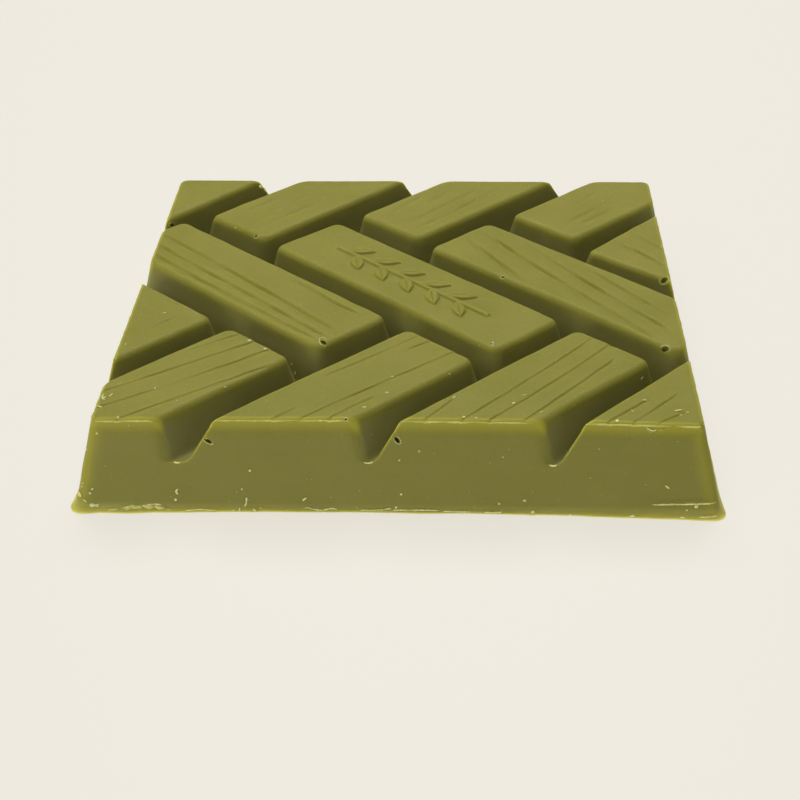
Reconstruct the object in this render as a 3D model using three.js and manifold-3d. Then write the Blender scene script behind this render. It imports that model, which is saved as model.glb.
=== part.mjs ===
import * as THREE from 'three';
import { mergeVertices } from 'three/addons/utils/BufferGeometryUtils.js';
import Module from 'manifold-3d';

// A square bar of matcha white chocolate, moulded as a herringbone floor of thirteen boards.
// Millimetres, +Z up, front towards -Y. The origin is the centre of the flat underside.

// The bar
const BASE = 72; // side of the underside, with its moulded lip
const HEIGHT = 10.57; // underside to the faces of the boards
const LIP = 0.2; // how far the lip stands out from the wall at the underside
const LIP_HEIGHT = 0.55;
const LIP_FLAT = 0.22; // the part of the lip's height that is upright
const DRAFT = THREE.MathUtils.degToRad(13.2); // lean of every moulded wall
const RIM_RADIUS = 0.4; // rounding of the outer top edge
const TOP_CORNER = 1.0; // plan radius of the bar's corners at the top
const BASE_CORNER = 1.6; // and at the underside
const TOP_HALF = BASE / 2 - LIP - HEIGHT * Math.tan(DRAFT);

// The herringbone
const PITCH = 14.63; // a board's width with half a groove on each side
const PITCHES_LONG = 3; // a board is three pitches long
const GROOVE = 3.63; // between two boards' faces, at the top
const GROOVE_DEPTH = 4.98;
const GROOVE_FLOOR = HEIGHT - GROOVE_DEPTH;
const FLOOR_RADIUS = 0.6; // where a board's wall runs into the groove's floor
const BOARD_CORNER = 0.9; // plan radius of a board's corners
const BOARD_EDGE = 0.5; // rounding of a board's upper edges
const BOARD_ROOT = 1; // how far a board's body is rooted below the groove's floor
const BOARD_HALF_LENGTH = (PITCHES_LONG * PITCH - GROOVE) / 2;
const BOARD_HALF_WIDTH = (PITCH - GROOVE) / 2;
const PATTERN_CENTRE = [0.49, 0.77]; // the pattern sits a little off the bar's centre
const PATTERN_TURN = 0.35; // degrees, and turned a little
const NEIGHBOUR = PITCH * Math.SQRT2; // from board to board along a row
const ROW = (PITCHES_LONG * PITCH) / Math.SQRT2; // from the middle row to the outer ones
const OVERRUN = 6; // an end board's extra width, out past the bar's side

// The grain lines: shallow grooves with a steep far side and a gentle near side
const GRAIN_DEPTH = 0.22;
const GRAIN_STEEP = 0.22; // from the lowest line to the steep side's edge
const GRAIN_GENTLE = 0.75; // from the lowest line to the gentle side's edge
const GRAIN_STATIONS = [0, 0.12, 0.5, 0.88, 1]; // along a line, as parts of its length
const GRAIN_CLEAR = 0.12; // how far above the face the cut starts
const GRAIN_END = 0.05; // how far above the face the lowest line ends

// The raised sprig on the middle board
const SPRIG_RAISE = 0.25;
const SPRIG_ROOT = 0.4; // how deep the relief is rooted in the board
const SPRIG_LENGTH = 27.5;
const STEM_WIDTH = 0.7;
const LEAF_LENGTH = 4.4;
const LEAF_WIDTH = 1.7;
const LEAF_LEAN = 38; // degrees between a leaf and the stem
const LEAF_PAIRS = 5;
const LEAF_STAGGER = 0.25; // a pair's leaves stand before and after its middle by this share

// How finely round shapes are cut
const CORNER_STEPS = 4;
const EDGE_STEPS = 3;
const LEAF_STEPS = 5;
const PIT_SEGMENTS = 8;
const PIT_RINGS = 6;

// The rows of boards, each row from left to right.
// side: the row's place, in rows behind the middle. slant: its boards' direction, in degrees.
// A board's own axes are along, in its slant's direction, and across, to the left of that.
// error: the board's shift across, its turn in degrees and its shift along, as the mould has them.
// widened: an end board runs out past the bar's side, here in the direction across.
// grain: lines from (along, across) to (along, across), and the bow at the middle of each.
// pits: bubbles as along, across, depth of the middle, radius, stretch, turn in degrees.
const ROWS = [
  {
    side: 0,
    slant: -45,
    boards: [
      {
        error: [-0.4, 0.6, -0.5],
        widened: -1,
        grain: [
          [16.8, -1.8, 16.9, 3.9, 0],
          [13.2, -0.2, 13.4, 3.4, 0],
        ],
      },
      {
        error: [0.2, 0.2, -0.3],
        grain: [
          [3, 4.4, 19, 3.5, -0.25],
          [-15, 0.9, 19.6, -1.35, 0],
          [-13, -1.9, 19.4, -3.1, 0],
          [-11.5, -4, 18, -4.3, -0.2],
        ],
        pits: [[19.7, -4.5, 0, 0.36, 2, -30]],
      },
      { error: [0, -0.15, 0.15], sprig: true },
      {
        error: [0.1, 1.1, 0.1],
        grain: [
          [-13, 4.5, 15.5, -1.9, -0.5],
          [-19.4, 3.1, 16, -4.5, -0.5],
          [-18.7, -0.2, -4, -4.6, 0],
          [-1.5, 4.2, 13, 1.5, -0.35],
        ],
        pits: [[18.8, -5.9, 0.5, 0.62, 1.2, 40]],
      },
      {
        error: [0.6, 5.2, 0.15],
        widened: 1,
        grain: [
          [-18.5, 3.2, -14, 1.7, 0],
          [-18.8, -0.5, -12, -1.9, 0],
        ],
        pits: [[-8.9, -5, 0.3, 0.6, 1.2, 0]],
      },
    ],
  },
  {
    side: 1,
    slant: 45,
    boards: [
      { error: [-0.1, 0.4, 0] },
      {
        error: [0.2, 2.5, -0.15],
        grain: [
          [-18, 2.9, -8, 3.3, 0],
          [-18, -2.3, -6, -2, 0],
        ],
      },
      {
        error: [0.1, 0.4, -0.1],
        grain: [
          [-19, 3, -8, 4.3, -0.2],
          [-18.5, -1.2, -1.5, 0.1, 0],
          [-18.5, -3.2, 0.5, -1.8, -0.2],
        ],
      },
      {
        error: [0, 0.9, -0.2],
        grain: [
          [-12, 1.5, -5, 2.4, 0],
          [-18, -1.6, -6, -1, 0],
          [-17, -3.3, -7, -2.9, 0],
        ],
      },
    ],
  },
  {
    side: -1,
    slant: 45,
    boards: [
      {
        error: [0.5, 0.6, -0.1],
        grain: [
          [12.5, 4.6, 19.5, 3.4, 0],
          [2.6, 3.7, 19.7, 0.7, -0.15],
          [-0.6, 1.3, 19.7, -2.2, -0.5],
          [-1.6, -2.5, 17.5, -5.3, 0],
        ],
      },
      {
        error: [-0.1, 0.6, 0.1],
        grain: [
          [5, 3.9, 19.6, 3.3, -0.1],
          [16, 1.8, 19.8, 1.3, 0],
          [-5.2, 0.85, -0.8, 0.75, 0],
          [-2.8, -1.4, 20, -2.55, 0.15],
          [-0.4, -3.6, 7, -3.5, 0.1],
        ],
      },
      {
        error: [-0.05, 1.6, -0.05],
        grain: [
          [-8.2, 3.5, -1.5, 4.6, 0],
          [-5.4, 0.8, 19.4, 2.85, -0.45],
          [-3.4, -1.4, 20, 0.4, -0.4],
          [-0.4, -4.1, 18, -2.25, -0.2],
        ],
      },
      {
        error: [0.6, 4, 0],
        grain: [
          [-8.4, 3.6, -0.5, 3.5, 0],
          [-7, 1.7, 2.5, 1.8, -0.1],
          [-5.2, -0.5, 0, -1.2, 0],
        ],
      },
    ],
  },
];

// Bubbles in the front wall as x, height, radius, stretch, turn in degrees.
const FRONT_PITS = [
  [-20.5, 8.3, 0.3, 2, -35],
  [0.3, 8.35, 0.34, 1.5, -50],
];

const wasm = await Module();
wasm.setup();

function toSolid(geometry) {
  const bare = geometry.clone();
  bare.deleteAttribute('normal');
  bare.deleteAttribute('uv');
  const merged = mergeVertices(bare, 1e-5);
  const mesh = new wasm.Mesh({
    numProp: 3,
    vertProperties: merged.attributes.position.array,
    triVerts: new Uint32Array(merged.index.array),
  });
  return new wasm.Manifold(mesh);
}

function toGeometry(solid) {
  const mesh = solid.getMesh();
  const geometry = new THREE.BufferGeometry();
  geometry.setAttribute('position', new THREE.BufferAttribute(mesh.vertProperties, 3));
  geometry.setIndex(new THREE.BufferAttribute(mesh.triVerts, 1));
  return geometry;
}

// A closed skin over rings of points, with a flat cap on the first and the last.
// Seen from past the last ring, every ring runs anticlockwise.
function loft(rings) {
  const count = rings[0].length;
  const index = [];
  for (let ring = 0; ring < rings.length - 1; ring += 1) {
    for (let i = 0; i < count; i += 1) {
      const next = (i + 1) % count;
      const low = ring * count;
      const high = low + count;
      index.push(low + i, low + next, high + next, low + i, high + next, high + i);
    }
  }
  const last = (rings.length - 1) * count;
  for (let i = 1; i < count - 1; i += 1) {
    index.push(0, i + 1, i);
    index.push(last, last + i, last + i + 1);
  }
  const geometry = new THREE.BufferGeometry().setFromPoints(rings.flat());
  geometry.setIndex(index);
  return geometry;
}

// A rectangle from (x0, y0) to (x1, y1) at height z, with rounded corners.
function roundedRing(x0, y0, x1, y1, radius, z) {
  const centres = [
    [x1 - radius, y1 - radius],
    [x0 + radius, y1 - radius],
    [x0 + radius, y0 + radius],
    [x1 - radius, y0 + radius],
  ];
  const ring = [];
  centres.forEach(([x, y], corner) => {
    for (let step = 0; step <= CORNER_STEPS; step += 1) {
      const angle = (corner + step / CORNER_STEPS) * (Math.PI / 2);
      ring.push(new THREE.Vector3(x + radius * Math.cos(angle), y + radius * Math.sin(angle), z));
    }
  });
  return ring;
}

// How far out a leaning wall is at a height, counted from its sharp edge at the boards' faces.
function wallOffset(z) {
  return (HEIGHT - z) * Math.tan(DRAFT);
}

// A leaning wall's rounded upper edge, as pairs of offset from the sharp edge and height.
function edgeSection(radius) {
  const inset = (radius * (1 - Math.sin(DRAFT))) / Math.cos(DRAFT);
  const section = [];
  for (let step = 0; step <= EDGE_STEPS; step += 1) {
    const angle = DRAFT + (step / EDGE_STEPS) * (Math.PI / 2 - DRAFT);
    section.push([radius * Math.cos(angle) - inset, HEIGHT - radius + radius * Math.sin(angle)]);
  }
  return section;
}

// The hollow curve from a groove's floor up to where a board's wall is straight.
function floorSection() {
  const wallEnd = GROOVE_FLOOR + FLOOR_RADIUS * (1 - Math.sin(DRAFT));
  const centre = wallOffset(wallEnd) + FLOOR_RADIUS * Math.cos(DRAFT);
  const section = [[centre, GROOVE_FLOOR - BOARD_ROOT]];
  for (let step = 0; step <= EDGE_STEPS; step += 1) {
    const angle = Math.PI / 2 - (step / EDGE_STEPS) * (Math.PI / 2 - DRAFT);
    const offset = centre - FLOOR_RADIUS * Math.cos(angle);
    section.push([offset, GROOVE_FLOOR + FLOOR_RADIUS * (1 - Math.sin(angle))]);
  }
  return section;
}

// The bar's outside, without its grooves.
function blank() {
  const outline = (half, z) => {
    const share = (BASE / 2 - half) / (BASE / 2 - TOP_HALF);
    const radius = THREE.MathUtils.lerp(BASE_CORNER, TOP_CORNER, share);
    return roundedRing(-half, -half, half, half, radius, z);
  };
  const rings = [outline(BASE / 2, 0), outline(BASE / 2, LIP_FLAT)];
  rings.push(outline(TOP_HALF + wallOffset(LIP_HEIGHT), LIP_HEIGHT));
  for (const [offset, z] of edgeSection(RIM_RADIUS)) {
    rings.push(outline(TOP_HALF + offset, z));
  }
  return toSolid(loft(rings));
}

// One board, lying along x about its own origin.
function boardBody(widened) {
  const rings = [...floorSection(), ...edgeSection(BOARD_EDGE)].map(([offset, z]) => {
    const x = BOARD_HALF_LENGTH + offset;
    const near = -BOARD_HALF_WIDTH - offset - (widened < 0 ? OVERRUN : 0);
    const far = BOARD_HALF_WIDTH + offset + (widened > 0 ? OVERRUN : 0);
    return roundedRing(-x, near, x, far, BOARD_CORNER + Math.max(offset, 0), z);
  });
  return toSolid(loft(rings));
}

// Where a board lies, as a matrix.
function boardPlace(row, board) {
  const pattern = new THREE.Group();
  pattern.position.set(PATTERN_CENTRE[0], PATTERN_CENTRE[1], 0);
  pattern.rotation.z = THREE.MathUtils.degToRad(PATTERN_TURN);
  const cell = new THREE.Group();
  const number = row.boards.indexOf(board) - (row.boards.length - 1) / 2;
  cell.position.set(number * NEIGHBOUR, row.side * ROW, 0);
  cell.rotation.z = THREE.MathUtils.degToRad(row.slant);
  const own = new THREE.Group();
  const [across, turn, along] = board.error;
  own.position.set(along, across, 0);
  own.rotation.z = THREE.MathUtils.degToRad(turn);
  pattern.add(cell);
  cell.add(own);
  own.updateWorldMatrix(true, false);
  return own.matrixWorld;
}

// The space of one grain line: a three-sided wedge that rises out of the face at both ends.
function grainSpace([x0, y0, x1, y1, bow]) {
  const start = new THREE.Vector2(x0, y0);
  const line = new THREE.Vector2(x1, y1).sub(start);
  const side = new THREE.Vector2(-line.y, line.x).normalize();
  const above = HEIGHT + GRAIN_CLEAR;
  const widening = (GRAIN_DEPTH + GRAIN_CLEAR) / GRAIN_DEPTH;
  const sections = GRAIN_STATIONS.map((part) => {
    const centre = start.clone().addScaledVector(line, part);
    centre.addScaledVector(side, bow * 4 * part * (1 - part));
    const isEnd = part === 0 || part === 1;
    const lowest = HEIGHT + (isEnd ? GRAIN_END : -GRAIN_DEPTH);
    const point = (reach, z) => {
      const at = centre.clone().addScaledVector(side, reach);
      return new THREE.Vector3(at.x, at.y, z);
    };
    const far = point(GRAIN_STEEP * widening, above);
    const near = point(-GRAIN_GENTLE * widening, above);
    return [point(0, lowest), far, near];
  });
  return toSolid(loft(sections));
}

// An air bubble: a small ball, stretched along x.
function bubble(radius, stretch) {
  const geometry = new THREE.SphereGeometry(radius, PIT_SEGMENTS, PIT_RINGS);
  geometry.scale(stretch, 1, 1);
  return geometry;
}

function facePit([along, across, depth, radius, stretch, turn]) {
  const geometry = bubble(radius, stretch);
  geometry.rotateZ(THREE.MathUtils.degToRad(turn));
  geometry.translate(along, across, HEIGHT - depth);
  return toSolid(geometry);
}

function frontPit([x, z, radius, stretch, turn]) {
  const geometry = bubble(radius, stretch);
  geometry.rotateY(THREE.MathUtils.degToRad(-turn));
  geometry.translate(x, -TOP_HALF - wallOffset(z), z);
  return toSolid(geometry);
}

// A leaf: two arcs that meet in points, standing on the board.
function leaf() {
  const outline = [];
  for (const way of [1, -1]) {
    for (let step = 0; step < LEAF_STEPS; step += 1) {
      const part = step / LEAF_STEPS;
      const x = way > 0 ? LEAF_LENGTH * (1 - part) : LEAF_LENGTH * part;
      outline.push([x, (way * LEAF_WIDTH * Math.sin(Math.PI * part)) / 2]);
    }
  }
  const ring = (z) => outline.map(([x, y]) => new THREE.Vector3(x, y, z));
  return loft([ring(HEIGHT - SPRIG_ROOT), ring(HEIGHT + SPRIG_RAISE)]);
}

// A straight stem with leaves on both sides in turn, along a board.
function sprig() {
  const stem = new THREE.BoxGeometry(SPRIG_LENGTH, STEM_WIDTH, SPRIG_ROOT + SPRIG_RAISE);
  stem.translate(0, 0, HEIGHT + (SPRIG_RAISE - SPRIG_ROOT) / 2);
  let relief = toSolid(stem);
  const spacing = (SPRIG_LENGTH - LEAF_LENGTH) / LEAF_PAIRS;
  for (let pair = 0; pair < LEAF_PAIRS; pair += 1) {
    for (const side of [1, -1]) {
      const blade = leaf();
      blade.rotateZ(THREE.MathUtils.degToRad(side * LEAF_LEAN));
      const middle = (pair + 0.5) * spacing - SPRIG_LENGTH / 2;
      blade.translate(middle - side * LEAF_STAGGER * spacing, 0, 0);
      relief = relief.add(toSolid(blade));
    }
  }
  return relief;
}

function bar() {
  const slab = new THREE.BoxGeometry(2 * BASE, 2 * BASE, 2 * GROOVE_FLOOR);
  let floorAndBoards = toSolid(slab);
  const hollows = FRONT_PITS.map(frontPit);
  const reliefs = [];
  for (const row of ROWS) {
    for (const board of row.boards) {
      const place = boardPlace(row, board).elements;
      const { widened = 0, grain = [], pits = [] } = board;
      floorAndBoards = floorAndBoards.add(boardBody(widened).transform(place));
      for (const hollow of [...grain.map(grainSpace), ...pits.map(facePit)]) {
        hollows.push(hollow.transform(place));
      }
      if (board.sprig) {
        reliefs.push(sprig().transform(place));
      }
    }
  }
  let solid = blank().intersect(floorAndBoards);
  for (const hollow of hollows) {
    solid = solid.subtract(hollow);
  }
  for (const relief of reliefs) {
    solid = solid.add(relief);
  }
  return toGeometry(solid);
}

const chocolate = new THREE.MeshStandardMaterial({ color: 0x8f8a42, roughness: 0.45, metalness: 0 });
const mesh = new THREE.Mesh(bar(), chocolate);
mesh.name = 'bar';

const object = new THREE.Group();
object.add(mesh);

export default object;
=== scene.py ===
# %% [markdown]
# A square bar of matcha white chocolate with a moulded herringbone of thirteen boards.
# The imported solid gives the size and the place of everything. It has flat facets and hard creases,
# so this script makes the same bar again as a fine skin: soft edges, wood grain, pinholes, crumbs.
# Everything is worked out in millimetres, and is turned into metres only when a mesh is made.

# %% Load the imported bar
import math
import random
import bmesh
import bpy
import numpy as np
from mathutils import Matrix, Vector
from mathutils.bvhtree import BVHTree


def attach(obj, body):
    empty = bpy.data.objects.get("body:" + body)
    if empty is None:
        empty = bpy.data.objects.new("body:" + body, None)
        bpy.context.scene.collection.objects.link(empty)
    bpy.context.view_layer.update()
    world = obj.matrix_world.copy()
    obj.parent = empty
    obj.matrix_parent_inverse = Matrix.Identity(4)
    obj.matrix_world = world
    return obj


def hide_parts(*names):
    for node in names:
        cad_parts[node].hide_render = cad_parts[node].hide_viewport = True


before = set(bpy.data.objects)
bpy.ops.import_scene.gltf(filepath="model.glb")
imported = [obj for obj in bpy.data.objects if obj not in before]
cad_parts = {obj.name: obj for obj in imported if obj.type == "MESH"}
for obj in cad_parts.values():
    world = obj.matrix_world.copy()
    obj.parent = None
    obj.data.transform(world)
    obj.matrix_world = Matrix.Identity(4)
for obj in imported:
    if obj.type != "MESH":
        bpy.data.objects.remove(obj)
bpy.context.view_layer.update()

MM = 0.001

# %% [markdown]
# The camera stands where the photo was taken from. The bar's four top corners and the lattice of
# its boards fix the lens and the place, so no guess is left. A camera in the hand also leans a
# little to one side; the last turn, about its own line of sight, is that lean.
# `sight` gives the line of sight through one point of the picture. It is used later, to lay each
# crumb exactly where the photo shows it.

# %% Set the camera
LENS = 74.77
SENSOR = 36
PICTURE = 800
CAMERA_PLACE = Vector((7.25, -187.13, 103.56)) * MM
HEADING = math.radians(2.5)  # to the left of straight ahead
DIP = math.radians(30.38)  # below the horizon
LEAN = math.radians(-0.77)

camera = bpy.data.objects.new("camera", bpy.data.cameras.new("camera"))
camera.data.lens = LENS
camera.data.sensor_width = SENSOR
camera.data.clip_start = 0.01
aim = Matrix.Rotation(HEADING, 4, "Z") @ Matrix.Rotation(math.pi / 2 - DIP, 4, "X")
aim = aim @ Matrix.Rotation(LEAN, 4, "Z")
camera.matrix_world = Matrix.Translation(CAMERA_PLACE) @ aim
bpy.context.scene.collection.objects.link(camera)
bpy.context.scene.camera = camera


def sight(point):
    """The direction in which the camera sees a point of the picture, given as x + y * 1j in pixels."""
    offset = (point - complex(PICTURE, PICTURE) / 2) / PICTURE * SENSOR / LENS
    return (aim.to_3x3() @ Vector((offset.real, -offset.imag, -1))).normalized()


print("the camera looks along", [round(v, 3) for v in sight(complex(PICTURE, PICTURE) / 2)])

# %% [markdown]
# The sizes of the bar, in millimetres. All walls lean, because the set bar has to slip out of its
# mould. The boards' walls lean a little more than the outer ones, as the mouths of the grooves show.
# The lip is the thin foot that is left where the mould ended.

# %% Name the bar's sizes
BASE = 72.0
HEIGHT = 10.57
LIP = 0.2
LIP_HEIGHT = 0.55
LIP_FLAT = 0.22
LEANING = math.tan(math.radians(13.2))
BOARD_LEANING = math.tan(math.radians(16.5))
TOP_CORNER = 1.0
BASE_CORNER = 1.25
TOP_HALF = BASE / 2 - LIP - HEIGHT * LEANING

PITCH = 14.63
PITCHES_LONG = 3
GROOVE = 3.63
GROOVE_DEPTH = 4.98
GROOVE_FLOOR = HEIGHT - GROOVE_DEPTH
FLOOR_RISE = 1.9  # how far up the groove's round bottom reaches
BOARD_CORNER = 1.25
BOARD_EDGE = 0.95
RIM_EDGE = 0.5
BOARD_HALF_LENGTH = (PITCHES_LONG * PITCH - GROOVE) / 2
BOARD_HALF_WIDTH = (PITCH - GROOVE) / 2
PATTERN_CENTRE = complex(0.49, 0.77)
PATTERN_TURN = 0.35  # degrees
NEIGHBOUR = PITCH * math.sqrt(2)  # from board to board along a row
ROW = PITCHES_LONG * PITCH / math.sqrt(2)  # from row to row
OVERRUN = 6  # how much wider a corner board is drawn, as the bar's sides cut it off
print(f"underside {BASE:.1f}, top {2 * TOP_HALF:.1f}, height {HEIGHT} mm")

# %% [markdown]
# The boards of the herringbone, row by row and from left to right. Each one has its own small
# errors, because the mould's master was made by hand: a shift across, a turn in degrees and a
# shift along. Its grain lines run from (along, across) to (along, across) and bow at the middle.
# A line that reaches the bar's side is drawn past it, so that it nicks the rim.
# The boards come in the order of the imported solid. The lines of the front row are the crispest.
# They are deeper and softer in the middle row, and faint in the back row.

# %% List the boards
ROWS = [
    {"side": 0, "slant": -45, "depth": 0.27, "steep": 0.5, "fade": 4.0, "boards": [
        {"error": (-0.4, 0.6, -0.5), "widened": -1,
         "grain": [(16.8, -1.8, 16.9, 3.9, 0), (13.2, -0.2, 13.4, 3.4, 0)]},
        {"error": (0.2, 0.2, -0.3),
         "grain": [(3, 4.4, 19, 3.5, -0.25), (-20.5, 1.0, 20.6, -1.4, 0.1),
                   (-18.5, -1.5, 20.6, -3.15, -0.05), (-16, -3.6, 19.6, -4.2, -0.4)]},
        {"error": (0, -0.15, 0.15), "sprig": True},
        {"error": (0.1, 1.1, 0.1),
         "grain": [(-13, 4.5, 17.5, -2.2, -0.5), (-19.6, 3.2, 18.5, -5.1, -0.5),
                   (-18.9, -0.1, -3.4, -4.8, 0), (-2.5, 4.4, 13.6, 1.3, -0.35)]},
        {"error": (0.6, 5.2, 0.15), "widened": 1,
         "grain": [(-18.5, 3.2, -11, 0.9, 0), (-18.8, -0.5, -9, -2.7, 0)]},
    ]},
    {"side": 1, "slant": 45, "depth": 0.17, "steep": 0.6, "fade": 3.2, "boards": [
        {"error": (-0.1, 5.6, 0)},
        {"error": (0.2, 3.3, 0.3),
         "grain": [(-18, 2.9, -8, 3.3, 0), (-18, -2.3, -6, -2, 0), (-15, 0.4, -5, 0.9, 0)]},
        {"error": (0.1, 2.0, 0.35),
         "grain": [(-19, 3, -8, 4.3, -0.2), (-18.5, -1.2, -1.5, 0.1, 0), (-12, 1.6, -4, 2.4, 0),
                   (-18.5, -3.2, 0.5, -1.8, -0.2)]},
        {"error": (-0.05, 1.2, 0.4),
         "grain": [(-12, 1.5, -5, 2.4, 0), (-18, -1.6, -6, -1, 0), (-17, -3.3, -7, -2.9, 0)]},
    ]},
    {"side": -1, "slant": 45, "depth": 0.15, "steep": 0.2, "fade": 1.5, "boards": [
        {"error": (0.4, 0.6, -0.1),
         "grain": [(12.5, 4.6, 20.4, 3.2, 0), (-1, 4.1, 20.6, 0.5, -0.15),
                   (-4.5, 1.9, 20.6, -2.3, -0.5), (-3.8, -2.1, 17.5, -5.3, 0)]},
        {"error": (-0.3, 0.6, 0.1),
         "grain": [(5, 3.9, 20.6, 3.2, -0.1), (16, 1.8, 20.8, 1.2, 0),
                   (-7, 0.9, -0.8, 0.75, 0), (-4.8, -1.3, 21, -2.6, 0.15),
                   (-1.8, -3.6, 7, -3.5, 0.1)]},
        {"error": (-0.05, 1.6, -0.05),
         "grain": [(-9.6, 3.2, -1.5, 4.6, 0), (-7.2, 0.7, 20.4, 2.9, -0.45),
                   (-4.8, -1.5, 20.8, 0.4, -0.4), (-2, -4.3, 18, -2.25, -0.2)]},
        {"error": (0.8, 4, 0),
         "grain": [(-10, 3.7, -0.5, 3.5, 0), (-9, 1.7, 2.5, 1.8, -0.1),
                   (-7, 0.0, 0, -1.2, 0)]},
    ]},
]
print(sum(len(row["boards"]) for row in ROWS), "boards")

# %% [markdown]
# The skin is a square net of points, laid over the bar like a cloth. A net is better than cutting
# solids here, because every point's height can be a smooth formula, and all edges come out soft.
# The net's rows lie close together where the bar is steep: the outer walls, the rim and the lip.
# For each row outwards from the middle there is the half-width of the bar there, and the height
# of the outer wall. The rows of the flat top have no wall yet, so their height is left open.

# %% Space the net's rows
OPEN = HEIGHT + 5
RIM_START = TOP_HALF - 0.7
FLAT_END = TOP_HALF - 0.1
WALL_START = HEIGHT + 0.4
UPPER_WALL = 9.8
LOWER_WALL = 1.9
TOP_SPACING = 0.1
RIM_SPACING = 0.06
EDGE_SPACING = 0.09
WALL_SPACING = 0.16
LIP_ROWS = 7
FOOT_EDGE = 0.07
FOOT_TUCK = 0.06
SHORTEST_STEP = 0.02


def spaced(start, end, spacing):
    return np.linspace(start, end, max(1, round(abs(end - start) / spacing)), endpoint=False)


flat_rows = np.append(spaced(0, RIM_START, TOP_SPACING), spaced(RIM_START, FLAT_END, RIM_SPACING))
wall_heights = np.concatenate([
    spaced(WALL_START, UPPER_WALL, EDGE_SPACING), spaced(UPPER_WALL, LOWER_WALL, WALL_SPACING),
    spaced(LOWER_WALL, LIP_HEIGHT, EDGE_SPACING)])
wall_halves = TOP_HALF + (HEIGHT - wall_heights) * LEANING
lip_turn = np.linspace(0, math.pi / 2, LIP_ROWS)
lip_start = TOP_HALF + (HEIGHT - LIP_HEIGHT) * LEANING
lip_halves = BASE / 2 - (BASE / 2 - lip_start) * np.cos(lip_turn)
lip_halves = np.append(lip_halves, [BASE / 2, BASE / 2 - FOOT_TUCK])
lip_heights = LIP_HEIGHT - (LIP_HEIGHT - LIP_FLAT) * np.sin(lip_turn) ** 2
lip_heights = np.append(lip_heights, [FOOT_EDGE, 0])

row_half = np.concatenate([flat_rows, wall_halves, lip_halves])
row_wall = np.concatenate([np.full(len(flat_rows), OPEN), wall_heights, lip_heights])
row_step = np.maximum(np.diff(row_half, prepend=-1), SHORTEST_STEP)
row_along = np.cumsum(row_step) - row_step[0]
print(len(row_half), "rows from the middle to the foot")

# %% [markdown]
# A square net has sharp corners, and the bar's corners are round. Rows near the outside are
# therefore bent: the last stretch of a row before its corner is wound onto an arc.
# The net also keeps, for each point, which way is outwards there. Flash and burrs need it later.

# %% Lay the net
CORNER_REACH = 3  # how far inside the rim the rows begin to bend


def corner_radius(half):
    inner = TOP_CORNER * np.clip((half - TOP_HALF + CORNER_REACH) / CORNER_REACH, 0, 1)
    outer = (BASE_CORNER - TOP_CORNER) * np.clip((half - TOP_HALF) / (BASE / 2 - TOP_HALF), 0, 1)
    return np.maximum(inner + outer, 1e-6)


count = len(row_half)
signed = np.arange(1 - count, count)
across_index, away_index = np.meshgrid(signed, signed, indexing="ij")
ring = np.maximum(abs(across_index), abs(away_index))
lesser = np.minimum(abs(across_index), abs(away_index))
half = row_half[ring]
along = row_along[lesser] / np.maximum(row_along[ring], 1e-9) * half
bend = corner_radius(half)
straight = half - bend
turn = np.clip((along - straight) / bend, 0, 1) * math.pi / 4
is_bent = along > straight
greater = np.where(is_bent, straight + bend * np.cos(turn), half)
other = np.where(is_bent, straight + bend * np.sin(turn), along)
x_leads = abs(across_index) >= abs(away_index)
x_sign = np.sign(across_index)
y_sign = np.sign(away_index)
net = np.where(x_leads, greater, other) * x_sign + 1j * np.where(x_leads, other, greater) * y_sign
x_share = np.where(is_bent, np.where(x_leads, np.cos(turn), np.sin(turn)), x_leads)
y_share = np.where(is_bent, np.where(x_leads, np.sin(turn), np.cos(turn)), ~x_leads)
outwards = x_share * x_sign + 1j * y_share * y_sign
outside = half - TOP_HALF
print("the net has", net.size, "points")

# %% [markdown]
# No edge of a moulded bar is dead straight. Sums of a few waves, each with its own direction and
# length, give a smooth unevenness that is the same on every run, with no picture behind it.

# %% Make unevenness
WAVES = 7
WAVE_LENGTHS = (0.7, 1.6)  # shortest and longest, as shares of the size asked for


def uneven(place, size, seed, stretch=1.0):
    """A smooth random field around 0, mostly within 1.5, with hills about `size` mm apart."""
    draw = random.Random(seed)
    total = np.zeros(np.shape(place))
    for _ in range(WAVES):
        heading = draw.uniform(0, 2 * math.pi)
        length = size * draw.uniform(*WAVE_LENGTHS)
        phase = draw.uniform(0, 2 * math.pi)
        reach = place.real * math.cos(heading) / stretch + place.imag * math.sin(heading)
        total += np.sin(2 * math.pi * reach / length + phase)
    return total / math.sqrt(WAVES)


def ease(low, high, value):
    """0 before low, 1 after high, and a smooth step in between."""
    part = np.clip((value - low) / (high - low), 0, 1)
    return part * part * (3 - 2 * part)


print(f"unevenness reaches {abs(uneven(net[::9, ::9], 5, 1)).max():.1f}")

# %% [markdown]
# Each board's wall has the same section: a round upper edge, a leaning straight wall, and a hollow
# curve down to the middle of the groove. That curve is part of an upright ellipse, because the
# photo shows the grooves narrowing to a rounded V. The section is a list of offsets from the
# board's outline with a height for each, so one look-up serves any point whose distance is known.

# %% Draw the wall's section
EDGE_POINTS = 14
FLOOR_POINTS = 16


def edge_inset(edge, leaning):
    """How far inside the outline a round edge begins."""
    lean = math.atan(leaning)
    return edge * (1 - math.sin(lean)) / math.cos(lean)


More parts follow.
